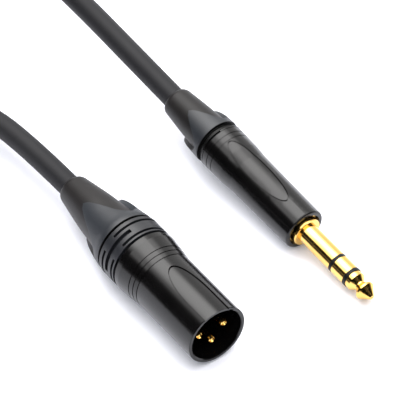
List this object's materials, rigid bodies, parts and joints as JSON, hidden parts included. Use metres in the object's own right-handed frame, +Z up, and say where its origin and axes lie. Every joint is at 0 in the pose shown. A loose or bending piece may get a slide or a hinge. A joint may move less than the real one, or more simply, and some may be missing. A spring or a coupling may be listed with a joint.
{
  "type": "balanced audio lead",
  "caption": "Audio lead with a three-pin male round plug and a 6.35 mm three-pole jack plug, its cable wound into a tied coil.",
  "frame": {"origin": "on the floor, at the middle of the footprint of the two plugs", "axes": "+X along the XLR plug's axis towards its open end, +Z up, +Y from the XLR plug towards the jack plug"},
  "size_m": [0.2625, 0.0964, 0.0208],
  "materials": {
    "black_metal": "satin black paint over die-cast zinc",
    "gold": "bright gold-plated contact",
    "boot_plastic": "soft-touch dark blue-grey moulding",
    "ring_rubber": "matt rubber-like coding ring",
    "black_plastic": "matt black moulded insulator",
    "chuck_plastic": "grey moulded nylon",
    "cable_jacket": "matt black smooth cable jacket",
    "core_red": "insulated core",
    "core_blue": "insulated core",
    "core_bare": "bare copper drain, sleeved at its end",
    "tie_fabric": "black hook-and-loop strap"
  },
  "bodies": {
    "lead": {"xlr_shell": "black_metal", "xlr_insert": "black_plastic", "xlr_pin_1": "gold", "xlr_pin_2": "gold", "xlr_pin_3": "gold", "xlr_chuck": "chuck_plastic", "xlr_cable_end": "cable_jacket", "xlr_conductor_1": "core_bare", "xlr_conductor_2": "core_red", "xlr_conductor_3": "core_blue", "jack_barrel": "black_metal", "jack_sleeve": "gold", "jack_insulator_outer": "black_plastic", "jack_ring_contact": "gold", "jack_insulator_inner": "black_plastic", "jack_tip": "gold", "jack_bush": "black_plastic", "jack_chuck": "chuck_plastic", "jack_cable_end": "cable_jacket", "jack_conductor_sleeve": "core_bare", "jack_conductor_ring": "core_blue", "jack_conductor_tip": "core_red", "cable_xlr_side": "cable_jacket", "cable_jack_side": "cable_jacket", "cable_coil": "cable_jacket", "cable_tie": "tie_fabric"},
    "xlr_ring_body": {"xlr_coding_ring": "ring_rubber"},
    "xlr_boot_body": {"xlr_boot": "boot_plastic"},
    "jack_ring_body": {"jack_gap_ring": "black_plastic"},
    "jack_boot_body": {"jack_boot": "boot_plastic"}
  },
  "joints": [
    {"name": "xlr_boot_back", "type": "slide", "parent": "lead", "child": "xlr_ring_body", "axis": [-1, 0, 0], "range_m": [0, 0.005]},
    {"name": "xlr_boot_turn", "type": "hinge", "parent": "xlr_ring_body", "child": "xlr_boot_body", "pos_m": [-0.01366, -0.02117, 0.0104], "axis": [-1, 0, 0], "range_deg": [0, 1440]},
    {"name": "jack_boot_back", "type": "slide", "parent": "lead", "child": "jack_ring_body", "axis": [-0.9943, -0.0347, 0.1011], "range_m": [0, 0.005]},
    {"name": "jack_boot_turn", "type": "hinge", "parent": "jack_ring_body", "child": "jack_boot_body", "pos_m": [-0.03229, 0.02326, 0.01143], "axis": [-0.9943, -0.0347, 0.1011], "range_deg": [0, 1440]}
  ],
  "couplings": [
    {"joint": "xlr_boot_turn", "follows": "xlr_boot_back", "rad_per_m": 5026.5},
    {"joint": "jack_boot_turn", "follows": "jack_boot_back", "rad_per_m": 5026.5}
  ]
}
